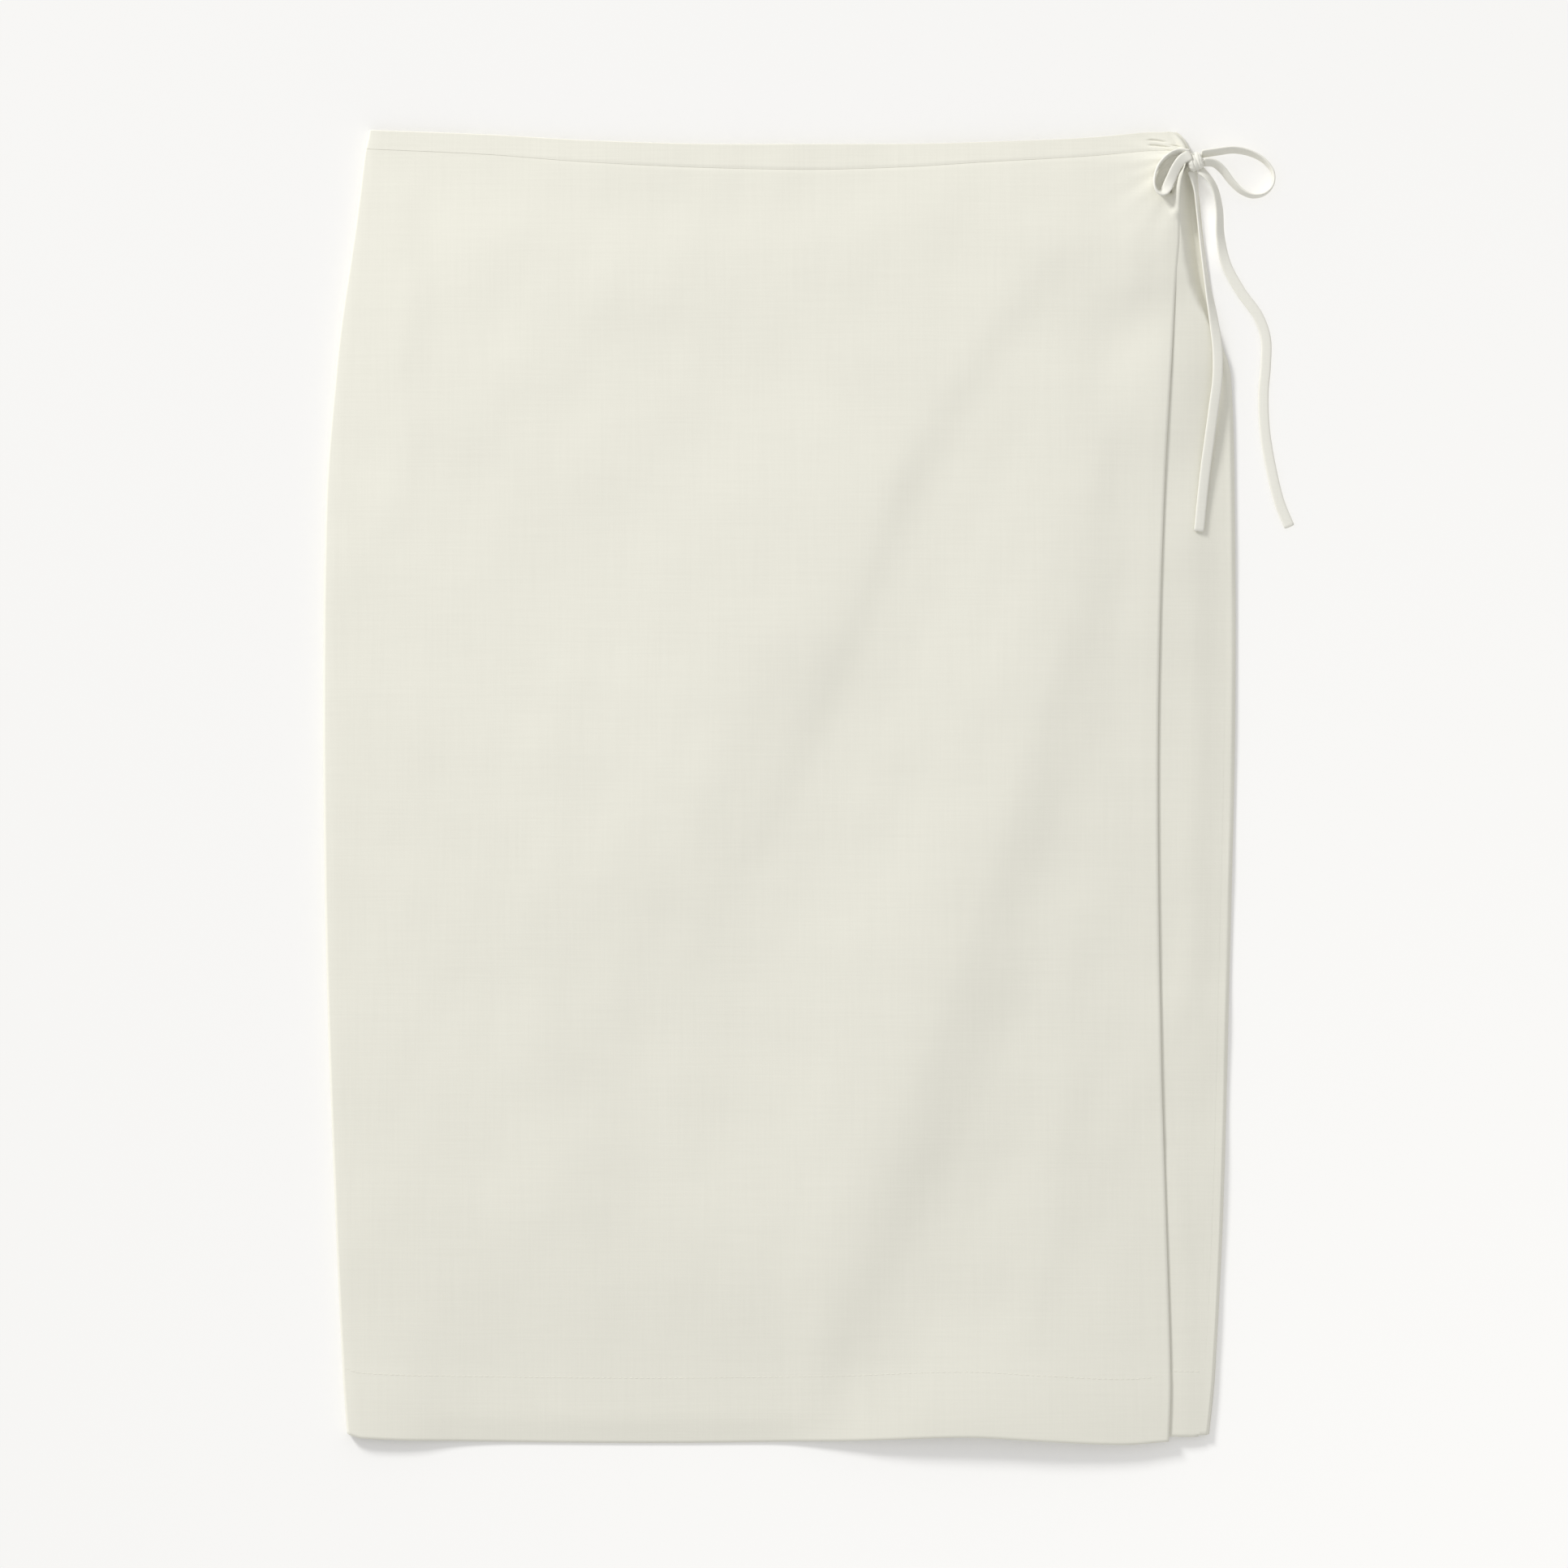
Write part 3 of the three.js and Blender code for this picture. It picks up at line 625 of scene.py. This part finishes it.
def makeKnot():
    v = np.linspace(-1, 1, knotShape["rings"])[:, None]
    u = np.linspace(0, 2 * math.pi, knotShape["sides"], endpoint=False)[None]
    body = (1 - np.abs(v) ** knotShape["roundness"]) ** (1 / knotShape["roundness"]) + knotShape["endSize"]
    body = body * (1 - knotShape["waist"] * np.exp(-((v / knotShape["waistWide"]) ** 2)))
    depth = np.zeros((v * u).shape)
    for at, width, deep, phase in knotShape["grooves"]:
        place = (at + knotShape["wander"] * np.sin(u + phase)
                 + knotShape["smallWander"] * np.sin(3 * u + 2 * phase))
        depth -= deep * np.exp(-(((v - place) / width) ** 2))
    depth += (knotShape["gatherDepth"] * np.abs(v) ** knotShape["gatherPower"]
              * np.sin(knotShape["gathers"] * u + knotShape["sway"] * np.sin(2 * u) + knotShape["swirl"] * v))
    angle = math.radians(knotShape["tilt"])
    along = knotShape["halfX"] * v * (1 + 0 * u)
    across = (knotShape["halfDown"] * body + depth) * np.cos(u)
    x = knot["x"] + along * math.cos(angle) - across * math.sin(angle)
    down = knot["down"] + along * math.sin(angle) + across * math.cos(angle)
    z = knot["z"] + (knotShape["halfZ"] * body + depth) * np.sin(u)
    rings = np.stack([x, -down, z], axis=-1)
    faces = []
    points = closeTube(rings, faces)
    piece = meshObject("tie_knot_cloth", inFrame(points[:, 0], -points[:, 1], points[:, 2]), faces, tieFinish)
    settle(piece, "tie_knot")
    return piece


bowPieces.append(makeKnot())
print("bow made")

# Panels and bands

def spread(count, fineStart=0.0, fineEnd=0.0, power=3.0):
    # shares from 0 to 1 that crowd towards either end
    t = np.linspace(0, 1, count)
    bent = (1 - fineStart - fineEnd) * t + fineStart * t ** power + fineEnd * (1 - (1 - t) ** power)
    return bent / bent[-1]


def between(top, bottom, v, x):
    # distance down of a share v of the way between two lines at x
    return top(x) + (bottom(x) - top(x)) * v


def seamBelow(x):
    return readTable(waistLine, "x", "seam", x) + wall["seamGap"]


def seamAbove(x):
    return readTable(waistLine, "x", "seam", x) - wall["seamGap"]


def hemOf(name):
    return lambda x: readTable(hemLine, "x", name, x)


def bandEdge(drop):
    return lambda x: readTable(waistLine, "x", "edge", x) + drop


def overSection(top, bottom, v, columns, thickness, floorLevel):
    # one row of the over front: from its side seam underneath, round the left fold, across to the free edge
    side = np.full(1, -float(fold["side"]))
    leftDown = between(top, bottom, v, side)
    rightDown = between(top, bottom, v, -side)
    reach = leftReach(leftDown)
    foldX = reach + fold["reach"] + thickness / 2
    edgeX = readTable(wrapEdge, "down", "x", rightDown)
    x = foldX + (edgeX - foldX) * columns
    down = between(top, bottom, v, x)
    z = overHeight(x, down)
    turn = np.linspace(0, math.pi, fold["leftSteps"])[:-1]
    curlX = foldX - fold["reach"] * np.sin(turn)
    curlZ = (z[0] + floorLevel) / 2 - (z[0] - floorLevel) / 2 * np.cos(turn)
    tuck = reach + fold["leftSeam"]
    x = np.r_[tuck, (tuck + curlX[0]) / 2, curlX, x]
    z = np.r_[floorLevel, floorLevel, curlZ, z]
    return np.stack([x, between(top, bottom, v, x), z], axis=-1)


def stripSection(top, bottom, v, columns):
    # one row of the under front, from its hidden free edge to the side seam
    rightDown = between(top, bottom, v, np.full(1, float(fold["side"])))
    seamX = rightReach(rightDown) - fold["rightSeam"] - fold["sideGap"]
    x = fold["underEdge"] + (seamX - fold["underEdge"]) * columns
    # a few more columns follow the wrap edge above, so that the step beside it is crisp
    x = np.sort(np.r_[x, readTable(wrapEdge, "down", "x", rightDown) + np.array(strip["extraColumns"])])
    down = between(top, bottom, v, x)
    return np.stack([x, down, stripHeight(x, down)], axis=-1)


def backSection(top, bottom, v, columns, wrapColumns, floorLevel):
    # one row of the back: along the floor, round the pressed fold at the right and up to the side seam
    rightDown = between(top, bottom, v, np.full(1, float(fold["side"])))
    leftDown = between(top, bottom, v, np.full(1, -float(fold["side"])))
    reach = rightReach(rightDown)
    turnX = reach - wall["cloth"] / 2 - fold["turn"]
    x = leftReach(leftDown) + fold["leftSeam"] + fold["sideGap"]
    x = x + (turnX - x) * columns
    down = between(top, bottom, v, x)
    z = np.full(x.shape, floorLevel) + np.maximum(relief(backCreases, x, down), 0)
    turn = np.linspace(0, math.pi, fold["rightSteps"])[1:-1]
    x = np.r_[x, turnX + fold["turn"] * np.sin(turn)]
    z = np.r_[z, floorLevel + fold["turn"] * (1 - np.cos(turn))]
    wrapX = turnX + (reach - fold["rightSeam"] - turnX) * wrapColumns
    wrapZ = stripHeight(wrapX, between(top, bottom, v, wrapX))
    x = np.r_[x, wrapX]
    z = np.r_[z, wrapZ + (floorLevel - wall["back"]) * (1 - wrapColumns)]
    return np.stack([x, between(top, bottom, v, x), z], axis=-1)


# Cloth gathered into the knot: it swings towards the knot's entry, rises to it and ripples in rays. Only
# what lies higher than "above" is the top layer and moves up
gather = {"x": 219.5, "down": 14.6, "reach": 15.0, "pull": 0.45, "rise": 2.4, "above": 3.9,
          "ripple": 0.55, "rippleFrom": 5.0, "rippleReach": 30.0, "rippleFade": 1.5, "rays": 9.0,
          "phase": 0.6, "fineRays": 20.7, "fineShare": 0.5, "leastSide": 0.5}


def gatherCloth(points):
    x, down, z = points[..., 0], points[..., 1], points[..., 2]
    dx, dy = gather["x"] - x, down - gather["down"]
    away = np.hypot(dx, dy)
    near = np.exp(-((away / gather["reach"]) ** 2))
    angle = np.arctan2(dy, np.maximum(dx, gather["leastSide"]))
    rays = (np.sin(gather["rays"] * angle + gather["phase"])
            + gather["fineShare"] * np.sin(gather["fineRays"] * angle))
    start = 1 - np.exp(-((away / gather["rippleFrom"]) ** 2))
    fade = np.exp(-((away / gather["rippleReach"]) ** gather["rippleFade"]))
    lift = np.where(z > gather["above"], gather["rise"] * near + gather["ripple"] * rays * start * fade, 0)
    return np.stack([x, down - dy * gather["pull"] * near, z + lift], axis=-1)


def makePanel(name, sections, thickness, edges, hemName=None):
    middle = np.stack(sections)
    isBand = hemName is None
    if not isBand:
        thickness = thickness + hemThickening(middle[..., 0], middle[..., 1], hemName)
    if name == "over_front_panel":
        thickness = thickness + turnedEdge(middle[..., 0], middle[..., 1])
    finish, slot = (bandFinish, "band") if isBand else (clothFinish, "cloth")
    piece = clothShell(name + "_cloth", middle, thickness, finish, edges)
    settle(piece, name)
    return piece


# Rows lie closer near the waist, and again in the last stretch above the hem
rowTable = {"of": [0, 0.4, 0.97, 1], "share": [0, 0.14, 0.986, 1]}


def rowShares(count):
    return np.interp(np.linspace(0, 1, count), rowTable["of"], rowTable["share"])


grids = {"overRows": 236, "overColumns": 176, "underRows": 190, "underColumns": 110, "backRows": 150,
         "backColumns": 60, "wrapColumns": 16, "bandRows": 44}

overColumns = spread(grids["overColumns"], fineStart=0.12, fineEnd=0.62)
underColumns = spread(grids["underColumns"], fineEnd=0.6)
backColumns = spread(grids["backColumns"], fineEnd=0.3)
wrapColumns = spread(grids["wrapColumns"])[1:]

overRows = [overSection(seamBelow, hemOf("over"), v, overColumns, wall["cloth"], wall["back"])
            for v in rowShares(grids["overRows"])]
overPanel = makePanel("over_front_panel", gatherCloth(np.stack(overRows)), wall["cloth"],
                      ("sewn", "sewn", "free", "free"), "over")
underRows = [stripSection(seamBelow, hemOf("under"), v, underColumns) for v in rowShares(grids["underRows"])]
underPanel = makePanel("under_front_panel", underRows, wall["cloth"],
                       ("sewn", "free", "free", "sewn"), "under")
backRows = [backSection(seamBelow, hemOf("back"), v, backColumns, wrapColumns, wall["back"])
            for v in rowShares(grids["backRows"])]
backPanel = makePanel("back_panel", backRows, wall["cloth"], ("sewn", "sewn", "free", "sewn"), "back")
print("panels made")

hiddenDrop = 0.8  # the bands of the hidden layers stay just below the edge of the top one
bandShares = np.linspace(0, 1, grids["bandRows"])
overBandRows = [overSection(bandEdge(0), seamAbove, v, overColumns, wall["band"], wall["backBand"])
                for v in bandShares]
overBand = makePanel("waist_band_over", gatherCloth(np.stack(overBandRows)), wall["band"],
                     ("free", "sewn", "sewn", "free"))
underBandRows = [stripSection(bandEdge(hiddenDrop), seamAbove, v, underColumns) for v in bandShares]
underBand = makePanel("waist_band_under", underBandRows, wall["band"], ("free", "free", "sewn", "sewn"))
backBandRows = [backSection(bandEdge(hiddenDrop), seamAbove, v, backColumns, wrapColumns, wall["backBand"])
                for v in bandShares]
backBand = makePanel("waist_band_back", backBandRows, wall["band"], ("free", "sewn", "sewn", "sewn"))
print("bands made")

# Stitches of the hem, sunk a little into the cloth

stitch = {"length": 2.3, "gap": 0.7, "width": 0.38, "height": 0.11, "above": 35.0,
          "bow": [0.3, 0.8, 1.0, 0.8, 0.3], "sides": 6}


def makeStitches(name, starts, ends):
    # one small raised oval for each pair of points
    angle = np.linspace(0, 2 * math.pi, stitch["sides"], endpoint=False)
    along = (ends - starts) / np.linalg.norm(ends - starts, axis=1)[:, None]
    side = np.stack([-along[:, 1], along[:, 0], np.zeros(len(along))], axis=-1)
    rings = []
    for share, size in zip(np.linspace(0, 1, len(stitch["bow"])), stitch["bow"]):
        centre = starts + (ends - starts) * share
        ring = centre[:, None] + side[:, None] * (np.cos(angle) * size * stitch["width"] / 2)[None, :, None]
        ring[..., 2] += np.sin(angle) * size * stitch["height"]
        rings.append(ring)
    points = np.stack(rings, axis=1).reshape(-1, 3)
    faces = []
    sides, count = stitch["sides"], len(stitch["bow"])
    for first in range(0, len(points), sides * count):
        for i in range(count - 1):
            for j in range(sides):
                a, b = first + i * sides + j, first + i * sides + (j + 1) % sides
                faces.append([a, b, b + sides, a + sides])
        faces.append([first + j for j in range(sides)][::-1])
        faces.append([first + (count - 1) * sides + j for j in range(sides)])
    piece = meshObject(name, inFrame(points[:, 0], points[:, 1], points[:, 2]), faces, threadFinish)
    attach(piece, "root")


def hemRow(name, hemName, fromX, toX, height):
    # stitches along a hem, on the surface whose height is given
    count = int((toX - fromX) / (stitch["length"] + stitch["gap"]))
    startX = np.linspace(fromX, toX, count, endpoint=False)
    ends = []
    for x in (startX, startX + stitch["length"]):
        down = readTable(hemLine, "x", hemName, x) - stitch["above"]
        ends.append(np.stack([x, down, height(x, down)], axis=-1))
    makeStitches(name, *ends)


raised = wall["cloth"] / 2 + wall["hem"] / 2
hemRow("hem_stitches_over", "over", -235.0, 206.5, lambda x, down: overHeight(x, down) + raised)
hemRow("hem_stitches_strip", "under", 211.5, 226.5, lambda x, down: stripHeight(x, down) + raised)
hemRow("hem_stitches_back", "back", -228.0, 231.0, lambda x, down: 0 * x + wall["back"] - raised)
print("stitches made")


def sheetArea(piece):
    # a closed shell has the cloth's face twice
    return sum(polygon.area for polygon in piece.data.polygons) / 2


for piece in (overPanel, underPanel, backPanel, overBand, underBand, backBand):
    print(f"{piece.name}: {sheetArea(piece):.4f} m2, {len(piece.data.polygons)} faces")


# The floor and the light

stage = {"side": 6000.0, "below": 0.3, "near": (0.815, 0.808, 0.795), "far": (0.975, 0.967, 0.950),
         "span": 0.6, "glow": 0.045, "glowGain": 0.075, "roughness": 0.9}
# Between the bow's two ends the floor shows no shadow either: an oval there glows a little, painted light
# that lifts the shadow the skirt casts on the floor there
shadowLiftGlow = {"x": 231.0, "down": 44.0, "halfX": 9.0, "halfDown": 36.0, "turn": 8.0, "glow": 0.26}
light = {"fill": 0.67, "key": 0.335, "elevation": 27.0, "fromLeft": 42.0, "distance": 4.4, "size": 0.9}
stageMiddle = inFrame(0, 350.0, 0)


def makeFloor():
    half = stage["side"] / 2
    corners = np.array([(-half, -half), (half, -half), (half, half), (-half, half)], float)
    points = np.stack([corners[:, 0], corners[:, 1], np.full(4, -stage["below"])], axis=-1) * mm
    material = bpy.data.materials.new("paleFloor")
    material.use_nodes = True
    nodes, links = material.node_tree.nodes, material.node_tree.links
    shader = nodes["Principled BSDF"]
    shader.inputs["Roughness"].default_value = stage["roughness"]
    shader.inputs["Specular IOR Level"].default_value = 0.0
    # the floor is paler and glows a little away from the lamp, so that it looks even like a studio sweep
    azimuth = math.radians(light["fromLeft"])
    away = newNode(nodes, "ShaderNodeVectorMath", operation="DOT_PRODUCT")
    away.inputs[1].default_value = (math.sin(azimuth), -math.cos(azimuth), 0)
    middle = newNode(nodes, "ShaderNodeVectorMath", operation="SUBTRACT")
    middle.inputs[1].default_value = stageMiddle
    place = newNode(nodes, "ShaderNodeTexCoord")
    links.new(place.outputs["Object"], middle.inputs[0])
    links.new(middle.outputs["Vector"], away.inputs[0])
    share = newNode(nodes, "ShaderNodeMapRange")
    share.inputs["From Min"].default_value = -stage["span"]
    share.inputs["From Max"].default_value = stage["span"]
    links.new(away.outputs["Value"], share.inputs["Value"])
    colour = newNode(nodes, "ShaderNodeMix", data_type="RGBA")
    colour.inputs["A"].default_value = (*stage["near"], 1)
    colour.inputs["B"].default_value = (*stage["far"], 1)
    links.new(share.outputs["Result"], colour.inputs["Factor"])
    links.new(colour.outputs["Result"], shader.inputs["Base Color"])
    glow = newNode(nodes, "ShaderNodeMath", operation="MULTIPLY_ADD", use_clamp=True)
    glow.inputs[1].default_value, glow.inputs[2].default_value = stage["glowGain"], stage["glow"]
    links.new(away.outputs["Value"], glow.inputs[0])
    # painted light: an oval of glow on the floor lifts the skirt's shadow between the bow's two ends
    oval = newNode(nodes, "ShaderNodeMapping", vector_type="TEXTURE")
    oval.inputs["Location"].default_value = inFrame(shadowLiftGlow["x"], shadowLiftGlow["down"], -stage["below"])
    oval.inputs["Rotation"].default_value[2] = math.radians(shadowLiftGlow["turn"])
    oval.inputs["Scale"].default_value = (shadowLiftGlow["halfX"] * mm, shadowLiftGlow["halfDown"] * mm, 1)
    links.new(place.outputs["Object"], oval.inputs["Vector"])
    paintedLightSpot = newNode(nodes, "ShaderNodeTexGradient", gradient_type="SPHERICAL")
    links.new(oval.outputs["Vector"], paintedLightSpot.inputs["Vector"])
    total = newNode(nodes, "ShaderNodeMath", operation="MULTIPLY_ADD")
    total.inputs[1].default_value = shadowLiftGlow["glow"]
    links.new(paintedLightSpot.outputs["Fac"], total.inputs[0])
    links.new(glow.outputs["Value"], total.inputs[2])
    links.new(total.outputs["Value"], shader.inputs["Emission Strength"])
    shader.inputs["Emission Color"].default_value = (*stage["far"], 1)
    floor = meshObject("floor", points, [[0, 1, 2, 3]], material)
    return floor


def makeFill():
    world = bpy.data.worlds.new("softFill")
    world.use_nodes = True
    background = world.node_tree.nodes["Background"]
    background.inputs["Color"].default_value = (1, 1, 1, 1)
    background.inputs["Strength"].default_value = light["fill"]
    bpy.context.scene.world = world


def listed(name, pieces, state):
    group = bpy.data.collections.new(name)
    for piece in pieces:
        group.objects.link(piece)
    for entry in group.collection_objects:
        entry.light_linking.link_state = state
    return group


def makeKey(name):
    lamp = bpy.data.lights.new(name, "AREA")
    lamp.shape = "SQUARE"
    lamp.size = light["size"]
    elevation, azimuth = math.radians(light["elevation"]), math.radians(light["fromLeft"])
    towards = np.array([-math.cos(elevation) * math.sin(azimuth), math.cos(elevation) * math.cos(azimuth),
                        math.sin(elevation)])
    # a lamp of P watts lights a white surface that faces it to P / (pi * distance) ** 2
    lamp.energy = light["key"] * (math.pi * light["distance"]) ** 2 / math.sin(elevation)
    holder = bpy.data.objects.new(name, lamp)
    holder.location = stageMiddle + towards * light["distance"]
    aim = np.arctan2(towards[1], towards[0])
    holder.rotation_euler = (0, math.pi / 2 - elevation, aim)
    bpy.context.scene.collection.objects.link(holder)
    return holder


floor = makeFloor()
makeFill()
# The photo's floor was cleaned around the bow, which casts no shadow on it. So one key lights all but the
# floor, and its twin lights only the floor and passes the bow.
keyOnCloth, keyOnFloor = makeKey("keyOnCloth"), makeKey("keyOnFloor")
keyOnCloth.light_linking.receiver_collection = listed("allButFloor", [floor], "EXCLUDE")
keyOnFloor.light_linking.receiver_collection = listed("onlyFloor", [floor], "INCLUDE")
keyOnFloor.light_linking.blocker_collection = listed("allButBow", bowPieces, "EXCLUDE")
scene = bpy.context.scene
scene.view_settings.view_transform = "Standard"
scene.view_settings.look = "None"
print("stage and light made")
